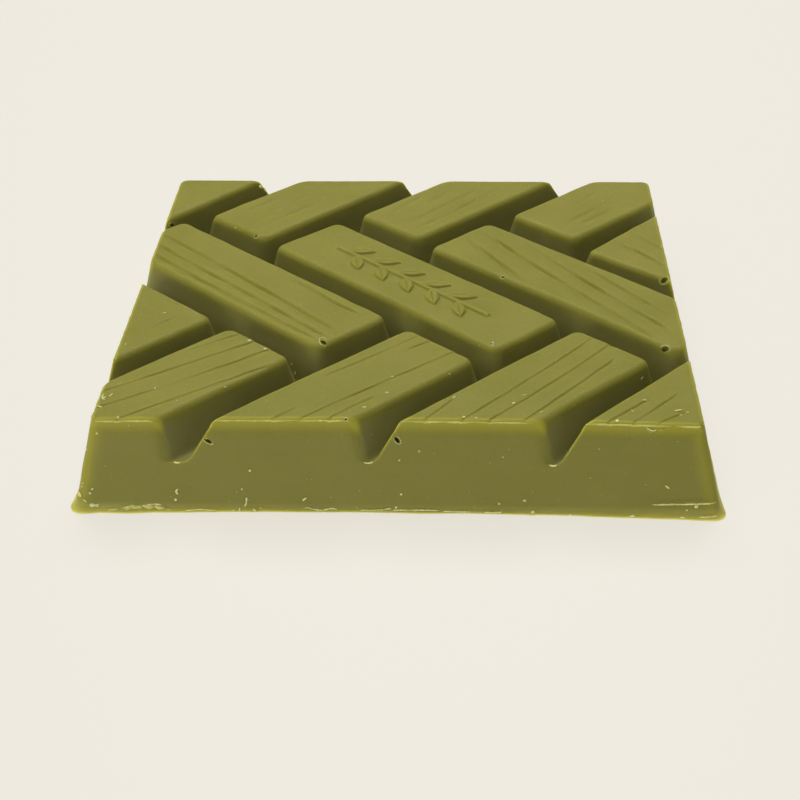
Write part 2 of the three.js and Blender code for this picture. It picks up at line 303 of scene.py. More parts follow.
def wall_section(edge, leaning):
    """Offsets from an outline, from the top inwards to the groove's middle, and their heights."""
    over = np.linspace(math.pi / 2, math.atan(leaning), EDGE_POINTS)
    upper_offsets = edge * np.cos(over) - edge_inset(edge, leaning)
    upper_heights = HEIGHT - edge * (1 - np.sin(over))
    # the ellipse that touches the wall and has its lowest point in the middle of the groove
    reach = GROOVE / 2 - (GROOVE_DEPTH - FLOOR_RISE) * leaning
    half_width = math.sqrt(reach ** 2 - (FLOOR_RISE * leaning) ** 2)
    touching = math.atan2(FLOOR_RISE * leaning, half_width)
    under = np.linspace(touching, math.pi / 2, FLOOR_POINTS)
    lower_offsets = GROOVE / 2 - half_width * np.cos(under)
    lower_heights = GROOVE_FLOOR + FLOOR_RISE * (1 - np.sin(under))
    return np.append(upper_offsets, lower_offsets), np.append(upper_heights, lower_heights)


section_offsets, section_heights = wall_section(BOARD_EDGE, BOARD_LEANING)
print(f"the wall's section runs out {section_offsets[-1]:.2f} mm down to the groove's floor")

# %% [markdown]
# The grain copies planed wood. Each line is a step: the face drops steeply at the line and climbs
# gently again on its near side, so the line lies in shade and the climb catches the light.
# Cutting the lines out one by one would leave hard ends; here each line fades in and out.

# %% Shape the grain
GRAIN_GENTLE = 1.1  # width of the gentle climb
GRAIN_WAVER = 0.035
GRAIN_STRENGTH = 0.9
GRAIN_CHANGE = 0.25
STREAK_DEPTH = 0.008


def grain_line(place, line, row, seed):
    """How deep one line cuts, from 0 to about 1."""
    from_along, from_across, to_along, to_across, bow = line
    start = complex(from_along, from_across)
    run = complex(to_along, to_across) - start
    length = abs(run)
    local = (place - start) / (run / length)
    part = np.clip(local.real / length, 0, 1)
    waver = GRAIN_WAVER * uneven(local.real + 0j, 5, seed)
    side = local.imag - 4 * bow * part * (1 - part) - waver
    shown = ease(0, row["fade"], local.real) * ease(0, row["fade"], length - local.real)
    strength = GRAIN_STRENGTH + GRAIN_CHANGE * uneven(local.real + 0j, 7, seed + 1)
    gentle = np.clip(1 + side / GRAIN_GENTLE, 0, 1) ** 2
    return shown * strength * np.where(side < 0, gentle, 1 - ease(0, row["steep"], side))


def grain_relief(place, lines, row, seed):
    cut = np.zeros(place.shape)
    for number, line in enumerate(lines):
        cut = np.maximum(cut, grain_line(place, line, row, seed + 10 * number))
    streaks = STREAK_DEPTH * uneven(place, 1.3, seed + 5, stretch=12) if lines else 0
    return streaks - row["depth"] * cut


print("grain lines:", sum(len(board.get("grain", [])) for row in ROWS for board in row["boards"]))

# %% [markdown]
# The middle board carries a raised sprig of tea: a stem, with leaves on both sides in turn.
# The relief is as low as one that a mould presses, a third of a millimetre, with soft shoulders
# and a fine vein along each leaf.

# %% Shape the sprig
SPRIG_RAISE = 0.3
SPRIG_SHOULDER = 0.22
LEAF_SKIRT = -0.04  # how far outside its outline a leaf begins to rise
STEM_SKIRT = -0.08
SPRIG_LENGTH = 27.5
STEM_WIDTH = 0.75
LEAF_LENGTH = 4.4
LEAF_WIDTH = 1.8
LEAF_LEAN = 38
LEAF_PAIRS = 5
LEAF_STAGGER = 0.25
VEIN_DEPTH = 0.12
VEIN_WIDTH = 0.18
VEIN_START = (0.1, 0.3)  # shares of the leaf over which the vein fades in
VEIN_END = (0.95, 0.8)


def leaf_relief(place):
    part = np.clip(place.real / LEAF_LENGTH, 0, 1)
    inside = LEAF_WIDTH / 2 * np.sin(math.pi * part) - abs(place.imag)
    blade = ease(LEAF_SKIRT, SPRIG_SHOULDER, inside)
    vein = ease(VEIN_WIDTH, 0, abs(place.imag)) * ease(*VEIN_START, part) * ease(*VEIN_END, part)
    return SPRIG_RAISE * blade - VEIN_DEPTH * vein * blade


def sprig_relief(place):
    inside = np.minimum(SPRIG_LENGTH / 2 - abs(place.real), STEM_WIDTH / 2 - abs(place.imag))
    relief = SPRIG_RAISE * ease(STEM_SKIRT, SPRIG_SHOULDER, inside)
    spacing = (SPRIG_LENGTH - LEAF_LENGTH) / LEAF_PAIRS
    for pair in range(LEAF_PAIRS):
        for side in (1, -1):
            root = (pair + 0.5 - side * LEAF_STAGGER) * spacing - SPRIG_LENGTH / 2
            own = (place - root) * np.exp(-1j * math.radians(side * LEAF_LEAN))
            relief = np.maximum(relief, leaf_relief(own))
    return relief


print("the sprig has", 2 * LEAF_PAIRS, "leaves")

# %% [markdown]
# Now every board raises the net. Where a board runs out past the bar's side, its outline and the
# bar's are joined by a rounded corner: a broad one where they meet bluntly, and a tight one where
# they leave a thin wedge, as chocolate keeps a wedge crisp and lets a blunt corner go soft.
# The radius has to stay the same all the way down the wall, or the corner flares out at its foot.
# The bar's own rim is crisper than the boards' edges. Its distances are therefore swapped for the
# distances at which a board's section has the same height, and one look-up still serves both.

# %% Raise the boards
BLUNT_ROUNDING = 0.9
WEDGE_ROUNDING = 0.35
WEDGE_TO_BLUNT = (-0.2, 0.4)  # cosines of the angle between the two outward directions
EDGE_WAVER = 0.03


def outline_distance(place, half_length, near, far, radius):
    """Distance to a rounded rectangle, negative inside, with the outward direction."""
    centred = place - 0.5j * (near + far)
    past_end = abs(centred.real) - (half_length - radius)
    past_side = abs(centred.imag) - ((far - near) / 2 - radius)
    beyond = np.hypot(np.maximum(past_end, 0), np.maximum(past_side, 0))
    distance = beyond + np.minimum(np.maximum(past_end, past_side), 0) - radius
    way = np.where(past_end > past_side, np.sign(centred.real), 1j * np.sign(centred.imag))
    return distance, way


def rounded_meeting(a, b, radius):
    """How far a point lies outside two outlines at once, with an arc where they meet."""
    gap = np.minimum(abs(a - b), radius)
    arc = (a + b + 2 * radius - np.sqrt(2 * radius ** 2 - gap ** 2)) / 2
    return np.where(gap < radius, arc, np.maximum(a, b))


def board_height(board, number, row, seed):
    """The height that one board gives to every point of the net, and the points' distance to it."""
    across, tilt, shift = board["error"]
    cell = complex(number * NEIGHBOUR, row["side"] * ROW)
    cell += complex(shift, across) * np.exp(1j * math.radians(row["slant"]))
    origin = PATTERN_CENTRE + cell * np.exp(1j * math.radians(PATTERN_TURN))
    spin = np.exp(1j * math.radians(PATTERN_TURN + row["slant"] + tilt))
    place = (net - origin) / spin
    widened = board.get("widened", 0)
    near = -BOARD_HALF_WIDTH - (OVERRUN if widened < 0 else 0)
    far = BOARD_HALF_WIDTH + (OVERRUN if widened > 0 else 0)
    distance, way = outline_distance(place, BOARD_HALF_LENGTH, near, far, BOARD_CORNER)
    distance = distance + EDGE_WAVER * uneven(net, 4.5, seed)
    bluntness = ((way * spin) * np.conj(outwards)).real
    blunt = ease(*WEDGE_TO_BLUNT, bluntness)
    rounding = WEDGE_ROUNDING + (BLUNT_ROUNDING - WEDGE_ROUNDING) * blunt
    offset = rounded_meeting(distance, beyond_side, rounding)
    height = np.interp(offset, section_offsets, section_heights)
    face = offset < BOARD_EDGE / 2
    relief = grain_relief(place[face], board.get("grain", []), row, seed)
    if board.get("sprig"):
        relief = relief + sprig_relief(place[face])
    height[face] += relief
    return height, distance


rim_offsets, rim_heights = wall_section(RIM_EDGE, LEANING)
rim_profile = np.interp(outside, rim_offsets, rim_heights)
same_height = np.interp(-rim_profile, -section_heights, section_offsets)
rim_inset = edge_inset(RIM_EDGE, LEANING)
inner_shift = edge_inset(BOARD_EDGE, BOARD_LEANING) - rim_inset
beyond_side = np.where(outside < -rim_inset, outside - inner_shift, same_height)

surface = np.full(net.shape, GROOVE_FLOOR)
apart = np.full(net.shape, float(OVERRUN))
for row in ROWS:
    for order, board in enumerate(row["boards"]):
        number = order - (len(row["boards"]) - 1) / 2
        seed = 1000 + 100 * order + 17 * row["side"]
        board_surface, distance = board_height(board, number, row, seed)
        surface = np.maximum(surface, board_surface)
        apart = np.minimum(apart, distance)
print(f"the boards reach {surface.max():.2f} mm, the floor lies at {surface.min():.2f} mm")

# %% [markdown]
# The outer wall cuts the boards off. A plain minimum of the two heights would leave a knife edge,
# so the two are blended where they are nearly equal. Then come the slow hills that a set bar has,
# and the bow: this bar has lifted a little along the middle of its front.

# %% Cut off the sides and bow the bar
RIM_BLEND = 0.4
HILL_HEIGHT = 0.03
BOW = 0.41
BOW_POWER = 2.5

wall = row_wall[ring]
nearness = np.maximum(RIM_BLEND - abs(surface - wall), 0) / RIM_BLEND
height = np.minimum(surface, wall) - nearness ** 2 * RIM_BLEND / 4


def lifted(place):
    """How far the bow lifts a place."""
    towards_front = (1 - place.imag / TOP_HALF) / 2
    return BOW * towards_front * np.clip(1 - abs(place.real / TOP_HALF) ** BOW_POWER, 0, 1)


hills = uneven(net, 16, 3) * HILL_HEIGHT * ease(GROOVE_FLOOR - 1, HEIGHT, height)
height = height + hills + lifted(net)
print(f"the front's middle is lifted by {height[count - 1, 0]:.2f} mm")

# %% [markdown]
# The foot isn't clean. Chocolate crept under the mould's edge and left flash: a thin uneven lip,
# thicker in a few lumps. One burr runs across the front wall near its right end, and two small
# scraps hang under the rim. All of these push the wall outwards, so they move points sideways.

# %% Add flash and burrs
FLASH = 0.03
FLASH_HEIGHT = 0.8
FLASH_FULL = 0.25  # the height below which flash is at its thickest
FLASH_LUMPS = [  # place, radius, reach
    (-36 - 36j, 3.6, 0.2), (-29.6 - 36j, 3.4, 0.2), (-24.6 - 36j, 4, 0.14), (-15.9 - 36j, 1.5, 0.06),
    (36 - 36j, 6, 0.24), (27 - 36j, 9, 0.2), (14.9 - 36j, 0.8, 0.12), (33 + 36j, 5, 0.12),
    (-36 + 20j, 6, 0.1)]
LUMP_HEIGHT = 0.85
LUMP_FULL = 0.2
BURR_START = complex(28.0, 1.5)  # x and height
BURR_END = complex(35.0, 1.95)
BURR_REACH = 0.14
BURR_ABOVE = 0.5
BURR_BELOW = 0.1
BURR_FADES = (1.5, 0.4)  # over what length it fades at its start and at its end
SCRAPS = [(27.6, 9.75, 0.5, 0.2), (28.7, 9.95, 0.45, 0.14)]  # x, height, half-length, reach
SCRAP_HALF_HEIGHT = 0.22
WALL_WAVER = 0.025
FRONTWARDS = -0.7  # a wall faces the front where its outward y is less

is_wall = wall < OPEN
is_front = (outwards.imag < FRONTWARDS) & is_wall
low = ease(FLASH_HEIGHT, FLASH_FULL, wall)
creep = FLASH * (0.8 + 0.3 * uneven(net, 2.2, 11) + uneven(net, 9, 12))
push = np.where(is_wall, low * np.maximum(creep, -FLASH), 0)
push += np.where(is_wall, WALL_WAVER * uneven(net + 2j * wall, 7, 13) * ease(0, 2, outside), 0)
for centre, radius, reach in FLASH_LUMPS:
    bump = ease(radius, 0, abs(net - centre)) * ease(LUMP_HEIGHT, LUMP_FULL, wall)
    push += np.where(is_wall, reach * bump, 0)
burr_length = abs(BURR_END - BURR_START)
on_front = (net.real + 1j * wall - BURR_START) / ((BURR_END - BURR_START) / burr_length)
burr = ease(-BURR_BELOW, 0, on_front.imag) * ease(BURR_ABOVE, 0, on_front.imag)
burr = burr * ease(0, BURR_FADES[0], on_front.real)
burr = burr * ease(0, BURR_FADES[1], burr_length - on_front.real)
push += np.where(is_front, BURR_REACH * burr, 0)
for x, z, half_length, reach in SCRAPS:
    bump = ease(half_length, 0, abs(net.real - x)) * ease(SCRAP_HALF_HEIGHT, 0, abs(wall - z))
    push += np.where(is_front, reach * bump, 0)
skin = net + push * outwards
print(f"flash stands out by at most {push.max():.2f} mm")

# %% [markdown]
# The net becomes a mesh. Each square of four points is split along the diagonal that runs more
# level, so that slanting edges don't turn into saw teeth. The underside closes the skin with
# shrinking copies of its outline. The fine mesh is then thinned: flat places give up their
# triangles, and edges and grain keep theirs.
# The finish will need two things that only the net knows, and the mesh carries both along as
# attributes. One is where light comes through, for a painted yellow glow: the further a point at the
# rim stands out from the mean of the points around it, the thinner is the chocolate there, and flash
# is thin too. The other is where the grooves are, for a painted greyer shade in them.

# %% Make the bar's mesh
BAR_FACES = 188000
UNDERSIDE_RINGS = (0.99, 0.9, 0.5)
GLOW_WINDOW = 8  # points of the net to each side
GLOW_START = 0.06  # how far a point stands out where the glow begins
GLOW_FULL = 0.3  # how much further where it is full
GLOW_OUTSIDE = (-0.6, -0.1)  # distances from the rim between which it comes in
GLOW_ABOVE = (1.0, 3.0)
FLASH_GLOW_FULL = 0.25
HOLLOW_APART = (0.05, 0.6)  # distances from the boards
HOLLOW_DEPTH = (0.3, 3)  # how far a groove's floor lies below the outer wall


def averaged(values, reach):
    """The mean over a square window of the net."""
    width = 2 * reach + 1
    for axis in (0, 1):
        margin = [(reach + 1, reach) if side == axis else (0, 0) for side in (0, 1)]
        sums = np.cumsum(np.pad(values, margin, mode="edge"), axis=axis)
        values = (np.take(sums, range(width, sums.shape[axis]), axis)
                  - np.take(sums, range(sums.shape[axis] - width), axis)) / width
    return values


def triangles_of_net(height):
    number = np.arange(height.size).reshape(height.shape)
    a, b, c, d = number[:-1, :-1], number[1:, :-1], number[1:, 1:], number[:-1, 1:]
    level = height.ravel()
    first = (abs(level[a] - level[c]) <= abs(level[b] - level[d]))[..., None]
    one = np.where(first, np.stack([a, b, c], -1), np.stack([a, b, d], -1))
    two = np.where(first, np.stack([a, c, d], -1), np.stack([b, c, d], -1))
    return np.concatenate([one.reshape(-1, 3), two.reshape(-1, 3)])


def outline_of_net(shape):
    number = np.arange(shape[0] * shape[1]).reshape(shape)
    return np.concatenate([number[:-1, 0], number[-1, :-1], number[:0:-1, -1], number[0, :0:-1]])


def close_underside(points, faces, border):
    """Adds shrinking copies of the border, and a middle point, to the points and the faces."""
    previous = border
    for share in UNDERSIDE_RINGS:
        shrunk = points[border] * (share, share, 1)
        shrunk[:, 2] = lifted(shrunk[:, 0] + 1j * shrunk[:, 1])
        new = np.arange(len(points), len(points) + len(border))
        points = np.concatenate([points, shrunk])
        after_old = np.roll(previous, -1)
        after_new = np.roll(new, -1)
        faces.append(np.stack([previous, new, after_new], -1))
        faces.append(np.stack([previous, after_new, after_old], -1))
        previous = new
    middle = np.full(len(border), len(points))
    faces.append(np.stack([previous, middle, np.roll(previous, -1)], -1))
    return np.concatenate([points, [[0, 0, lifted(0j)]]])


def mesh_object(name, points, faces):
    mesh = bpy.data.meshes.new(name)
    mesh.vertices.add(len(points))
    mesh.vertices.foreach_set("co", np.asarray(points * MM, np.float32).ravel())
    mesh.loops.add(len(faces) * 3)
    mesh.loops.foreach_set("vertex_index", np.asarray(faces, np.int32).ravel())
    mesh.polygons.add(len(faces))
    mesh.polygons.foreach_set("loop_start", np.arange(0, len(faces) * 3, 3, dtype=np.int32))
    mesh.update(calc_edges=True)
    mesh.validate()
    made = bpy.data.objects.new(name, mesh)
    bpy.context.scene.collection.objects.link(made)
    return made


def settle(piece):
    """Applies the piece's modifiers to its mesh."""
    graph = bpy.context.evaluated_depsgraph_get()
    mesh = bpy.data.meshes.new_from_object(piece.evaluated_get(graph))
    piece.modifiers.clear()
    piece.data = mesh


spots = np.stack([skin.real, skin.imag, height], -1)
normals = np.cross(np.gradient(spots, axis=0), np.gradient(spots, axis=1))
normals /= np.linalg.norm(normals, axis=-1)[..., None] + 1e-12
middles = np.stack([averaged(spots[..., axis], GLOW_WINDOW) for axis in range(3)], -1)
bulge = ((spots - middles) * normals).sum(-1)
print(f"points stand out from their neighbours by up to {bulge.max():.2f} mm")
# the glow of light coming through thin edges and flash, painted into the colour later
at_rim = ease(*GLOW_OUTSIDE, outside) * ease(*GLOW_ABOVE, height)
glow = np.sqrt(np.clip((bulge - GLOW_START) / GLOW_FULL, 0, 1)) * at_rim
glow = np.clip(glow + np.maximum(push - FLASH, 0) / FLASH_GLOW_FULL, 0, 1)
# the grooves, which the finish paints with a greyer shade
painted_groove_shade = ease(*HOLLOW_APART, apart) * ease(*HOLLOW_DEPTH, wall - surface)

faces = [triangles_of_net(height)]
points = spots.reshape(-1, 3)
points = close_underside(points, faces, outline_of_net(height.shape))
bar = mesh_object("matcha_bar", points, np.concatenate(faces))
for name, values in (("glow", glow), ("painted_groove_shade", painted_groove_shade)):
    carried = np.append(values.ravel(), np.zeros(len(points) - values.size))
    bar.data.attributes.new(name, "FLOAT", "POINT").data.foreach_set("value", carried)
print("before thinning:", len(bar.data.polygons), "faces")
thinning = bar.modifiers.new("thinning", "DECIMATE")
thinning.ratio = BAR_FACES / len(bar.data.polygons)
settle(bar)
print("after thinning:", len(bar.data.polygons), "faces")

# %% [markdown]
# Air bubbles that touched the mould left pinholes. They are small, dark and deeper than they are
# wide, so a formula for the height can't make them: each is a stretched ball that is cut out of
# the skin. Pinholes are named by their place in the picture, and the line of sight through that
# place says where on the skin they lie.

# %% Cut the pinholes
PITS = [  # place in the picture, half-length, half-width, turn
    (207.6 + 440.4j, 0.52, 0.2, -35), (397.2 + 440j, 0.4, 0.22, -50), (568.6 + 452j, 0.16, 0.13, 0),
    (323.7 + 342.3j, 0.46, 0.3, -50), (665 + 349.3j, 0.44, 0.34, 0), (664.3 + 280j, 0.46, 0.36, 40),
    (346 + 419.3j, 0.13, 0.13, 0), (491.7 + 344j, 0.14, 0.13, 0), (256.2 + 236.4j, 0.2, 0.14, 40),
    (502.8 + 277.3j, 0.2, 0.14, 0), (643.2 + 378.5j, 0.14, 0.12, 0), (172.3 + 225j, 0.3, 0.2, 0),
]
PIT_DEPTH = 0.8
SHARP_ANGLE = math.radians(60)


def tree_of(piece):
    shape = bmesh.new()
    shape.from_mesh(piece.data)
    tree = BVHTree.FromBMesh(shape)
    shape.free()
    return tree


def seen(tree, point):
    """The spot on the skin that the camera sees at a point of the picture, and its normal."""
    spot, normal, _, _ = tree.ray_cast(CAMERA_PLACE, sight(point))
    return spot, normal


def lying_at(spot, normal, turn):
    """A frame on the skin: X lies level in the picture and is then turned, Z is the normal."""
    right = aim.to_3x3() @ Vector((1, 0, 0))
    level = (right - normal * right.dot(normal)).normalized()
    axes = Matrix((level, normal.cross(level), normal)).transposed().to_4x4()
    return Matrix.Translation(spot) @ axes @ Matrix.Rotation(math.radians(turn), 4, "Z")


bar_tree = tree_of(bar)
all_pits = bmesh.new()
for point, long, wide, turn in PITS:
    spot, normal = seen(bar_tree, point)
    size = Matrix.Diagonal((long * MM, wide * MM, PIT_DEPTH * MM, 1))
    inwards = (normal - sight(point)).normalized()
    place = lying_at(spot, inwards, turn) @ size
    bmesh.ops.create_icosphere(all_pits, subdivisions=3, radius=1, matrix=place)
pit_mesh = bpy.data.meshes.new("pits")
all_pits.to_mesh(pit_mesh)
all_pits.free()
pits = bpy.data.objects.new("pits", pit_mesh)
bpy.context.scene.collection.objects.link(pits)
cut = bar.modifiers.new("pinholes", "BOOLEAN")
cut.operation = "DIFFERENCE"
cut.solver = "MANIFOLD"
cut.object = pits
settle(bar)
bpy.data.objects.remove(pits)
bar.data.shade_smooth()
bar.data.set_sharp_from_angle(angle=SHARP_ANGLE)
print(len(PITS), "pinholes cut, now", len(bar.data.polygons), "faces")

# %% [markdown]
# Crumbs and specks of broken chocolate cling to the bar, paler than the bar itself. Two shapes do
# for all of them: a lump with corners, and a shaving, which is a thin thread along a path. All are
# of true size and sink a little into the skin that carries them. They are gathered into one joined
# mesh, because a particle system would not survive the export.

# %% Shape lumps and shavings
class Heap:
    """Small closed shapes, gathered for one mesh."""

    def __init__(self):
        self.points = []
        self.faces = []
        self.total = 0

    def add(self, points, faces):
        self.points.append(np.asarray(points))
        self.faces.append(np.asarray(faces) + self.total)
        self.total += len(points)

    def piece(self, name):
        return mesh_object(name, np.concatenate(self.points), np.concatenate(self.faces))


def ball(detail):
    shape = bmesh.new()
    bmesh.ops.create_icosphere(shape, subdivisions=detail, radius=0.5)
    points = np.array([corner.co[:] for corner in shape.verts])
    faces = np.array([[corner.index for corner in face.verts] for face in shape.faces])
    shape.free()
    return points, faces


BALLS = {1: ball(1), 2: ball(2)}
SMALL = 0.2  # below this length the plainer ball does
CORNERS = (0.72, 1.18)
FLATNESS = (0.5, 0.8)
LUMP_LIFT = 0.2
THREAD_SIDES = 6
THREAD_TAPER = 0.97
chance = random.Random(29)


def lump(heap, spot, normal, long, wide, turn):
    points, faces = BALLS[1 if long < SMALL else 2]
    uneven_points = points * [[chance.uniform(*CORNERS)] for _ in points]
    flat = min(long, wide) * chance.uniform(*FLATNESS)
    place = np.array(lying_at(spot + normal * flat * LUMP_LIFT * MM, normal, turn))
    heap.add(uneven_points * (long, wide, flat) @ place[:3, :3].T + place[:3, 3] / MM, faces)


def shaving(heap, spots, normals, thickness, roughness=0.3, lift=0.4):
    """A thread along the spots, thin at both ends and lifted by a share of its radius."""
    spots = np.array(spots) / MM
    normals = np.array(normals)
    run = np.gradient(spots, axis=0)
    run /= np.linalg.norm(run, axis=1)[:, None] + 1e-9
    aside = np.cross(run, normals)
    part = np.linspace(-1, 1, len(spots))
    swell = np.array([chance.uniform(1 - roughness, 1 + roughness) for _ in spots])
    radius = (thickness / 2 * swell * np.sqrt(1 - THREAD_TAPER * part ** 8))[:, None, None]
    angle = np.linspace(0, 2 * math.pi, THREAD_SIDES, endpoint=False)[None, :, None]
    round_it = np.cos(angle) * normals[:, None] + np.sin(angle) * aside[:, None]
    rings = spots[:, None] + radius * (round_it + lift * normals[:, None])
    ends = rings[[0, -1]].mean(axis=1)
    number = np.arange(len(spots) * THREAD_SIDES).reshape(len(spots), THREAD_SIDES)
    a, b = number[:-1], np.roll(number, -1, axis=1)[:-1]
    c, d = np.roll(number, -1, axis=1)[1:], number[1:]
    last = number.size
    caps = [(last, p, q) for p, q in zip(np.roll(number[0], -1), number[0])]
    caps += [(last + 1, p, q) for p, q in zip(number[-1], np.roll(number[-1], -1))]
    sides = np.concatenate([np.stack([a, b, c], -1), np.stack([a, c, d], -1)]).reshape(-1, 3)
    heap.add(np.concatenate([rings.reshape(-1, 3), ends]), np.concatenate([sides, caps]))


print("a lump has", len(BALLS[2][1]), "faces")

# %% [markdown]
# The crumbs lie where the photo shows them. Each is named by its place in the picture, and a line
# of sight through that place finds the skin.

# %% Lay the crumbs
LUMPS = [  # place in the picture, length and width in mm, turn
    (97 + 433.3j, 0.26, 0.24, 0), (104.5 + 397.6j, 0.34, 0.22, 40), (118 + 417.6j, 0.24, 0.2, 0),
    (155 + 388.3j, 0.3, 0.14, 80), (225.1 + 387.2j, 0.26, 0.2, 0), (176.7 + 400.4j, 0.15, 0.12, 0),
    (87.2 + 449.3j, 0.16, 0.14, 0), (83.2 + 483j, 0.18, 0.15, 0), (82.3 + 486.5j, 0.22, 0.2, 0),
    (92.3 + 489j, 0.26, 0.22, 20), (90.1 + 493.1j, 0.28, 0.25, 0), (80 + 494.6j, 0.75, 0.42, -35),
    (85 + 500.6j, 0.5, 0.16, -40), (93.5 + 504.6j, 0.55, 0.28, -20), (97.5 + 504.8j, 0.4, 0.2, 30),
    (156.6 + 505.6j, 0.26, 0.22, 0), (175.7 + 499.5j, 0.3, 0.26, 0), (241.8 + 489j, 0.22, 0.18, 0),
    (250.1 + 470.5j, 0.28, 0.26, 20), (239.8 + 509.3j, 0.18, 0.32, 0), (254.6 + 510j, 0.42, 0.26, -30),
    (233.5 + 510.4j, 0.32, 0.18, 0), (260.8 + 508j, 0.18, 0.16, 0), (311.4 + 479.5j, 0.16, 0.15, 0),
    (304.7 + 498.9j, 0.62, 0.22, 40), (319.7 + 420.7j, 0.4, 0.18, 0), (387 + 392.7j, 0.34, 0.22, 0),
    (364.4 + 407.2j, 0.5, 0.2, 10), (419.2 + 451j, 0.24, 0.24, 0), (399.4 + 460.4j, 0.22, 0.2, 0),
    (401.1 + 494.2j, 0.26, 0.25, 20), (396.3 + 507.4j, 0.24, 0.26, 0), (357 + 507.5j, 0.14, 0.14, 0),
    (425.6 + 510.3j, 0.24, 0.18, 0), (388.5 + 508.8j, 0.6, 0.2, 10), (499 + 503.6j, 0.25, 0.25, 0),
    (524.8 + 500.4j, 0.34, 0.24, 0), (532.9 + 512.2j, 0.44, 0.3, 0), (513.7 + 403.4j, 0.3, 0.34, -60),
    (464.1 + 417.3j, 0.3, 0.26, 0), (471.7 + 416.6j, 0.16, 0.13, 0), (476.2 + 417.9j, 0.34, 0.2, 0),
    (541.3 + 412.2j, 0.34, 0.18, 20), (524.6 + 395.2j, 0.4, 0.16, 20), (502.9 + 457.2j, 0.17, 0.16, 0),
    (617.4 + 421.1j, 0.36, 0.3, 0), (678.8 + 410.8j, 0.92, 0.22, 16), (687.4 + 412.4j, 0.3, 0.16, 0),
    (681 + 415.3j, 0.4, 0.16, 20), (645.2 + 400.3j, 0.6, 0.22, 10), (667.3 + 486.9j, 0.55, 0.22, -38),
    (696.3 + 506.6j, 0.42, 0.34, 20), (686.9 + 510.3j, 0.2, 0.18, 0), (632.5 + 516j, 0.6, 0.24, 0),
    (682.5 + 517.6j, 0.5, 0.24, 0), (249.7 + 340.7j, 0.5, 0.26, 12), (265.2 + 349.2j, 0.42, 0.24, 0),
    (292 + 364.2j, 0.22, 0.3, 0), (295.4 + 373.5j, 0.24, 0.5, -20), (392.4 + 376.7j, 0.32, 0.2, 0),
    (449.5 + 374.1j, 0.2, 0.18, 0), (125.8 + 344.5j, 0.28, 0.22, 0), (235.5 + 228j, 0.3, 0.2, 0),
    (164.9 + 313j, 0.5, 0.2, 20), (454.5 + 397.3j, 0.26, 0.2, 0), (492.6 + 342.6j, 0.3, 0.16, 0),
    (260.5 + 187j, 0.6, 0.4, -40), (264.5 + 189.5j, 0.5, 0.3, -40),
    (599 + 449j, 0.14, 0.13, 0), (570 + 514.8j, 0.26, 0.18, 0), (590.5 + 478j, 0.15, 0.14, 0),
]
SHAVINGS = [  # thickness in mm, then the path's places in the picture
    (0.12, [104.5 + 394.2j, 102.2 + 396.2j, 102.6 + 399.5j, 105.5 + 399.8j]),
    (0.11, [108.5 + 396.6j, 110.8 + 395.4j, 113.2 + 393.6j]),
    (0.1, [97.4 + 405.6j, 99.3 + 406.6j, 102 + 407.2j]),
    (0.19, [178.8 + 488.8j, 176.4 + 490j, 176.2 + 492.4j, 178.6 + 493.9j]),
    (0.16, [246.8 + 497.2j, 246.6 + 501j, 246.4 + 504.6j, 244.4 + 505.5j]),
    (0.18, [89.8 + 503.9j, 92.6 + 506.6j, 95.2 + 504.4j, 98.8 + 506.4j]),
    (0.1, [631 + 410.6j, 632.6 + 410.4j, 633 + 411.9j]),
    (0.1, [452.6 + 398.6j, 454.4 + 396.6j, 456 + 397.2j]),
    (0.11, [303.6 + 508.6j, 307.6 + 507.4j, 311.5 + 508.8j, 317 + 510j, 323 + 510.4j]),
    (0.12, [323 + 510.4j, 329 + 508.8j, 333.5 + 508.4j, 337.5 + 510j]),
    (0.1, [360 + 510.2j, 372 + 510.4j, 385 + 509.8j, 392 + 508.8j]),
    (0.12, [393 + 510.2j, 410 + 510.1j, 426 + 510.2j, 439 + 510.6j]),
    (0.1, [443 + 511.4j, 456 + 511.8j, 471 + 512.1j]),
    (0.15, [484.5 + 512.5j, 493 + 512.8j, 502 + 512.6j]),
    (0.13, [699 + 517.4j, 710 + 517.1j, 719 + 516.2j]),
    (0.15, [652 + 504.7j, 668 + 504.2j, 684 + 504j, 700 + 503.6j, 710 + 503.4j, 716.5 + 502.2j]),
    (0.1, [122 + 508.6j, 128 + 506.4j, 131 + 505.6j, 135 + 504.8j]),
    (0.12, [126 + 507.6j, 129 + 508j, 133 + 506.2j, 136 + 507.4j]),
    (0.11, [147 + 504.6j, 157 + 503.8j, 162 + 505j]),
    # this line and the next are pale threads at the bottoms of the groove mouths: painted glints
    (0.15, [174 + 462j, 177 + 463j, 180.5 + 462.6j]), (0.14, [549 + 465j, 553 + 466.2j, 557 + 465.2j]),
    (0.12, [364 + 462.4j, 367 + 463.4j, 370 + 463.2j, 373 + 462j]),
    (0.1, [186 + 510.6j, 200 + 509.4j, 216 + 510.6j]),
    (0.09, [646.7 + 427.8j, 650 + 430j, 653.3 + 431.3j, 656.7 + 429.2j]),
]
SHAVING_STEP = 0.8  # pixels
FEWEST_STEPS = 5
LUMP_SWELL = 1.12  # how much larger a piece is made than its bright core in the photo
SHAVING_SWELL = 1.35


def smooth_path(places):
    """Evenly spaced places along the given ones, with the corners between them rounded off."""
    reach = np.append(0, np.cumsum(abs(np.diff(places))))
    steps = max(FEWEST_STEPS, int(reach[-1] / SHAVING_STEP))
    even = np.interp(np.linspace(0, reach[-1], steps), reach, places)
    for _ in range(2):
        even[1:-1] = (even[:-2] + even[1:-1] + even[2:]) / 3
    return even


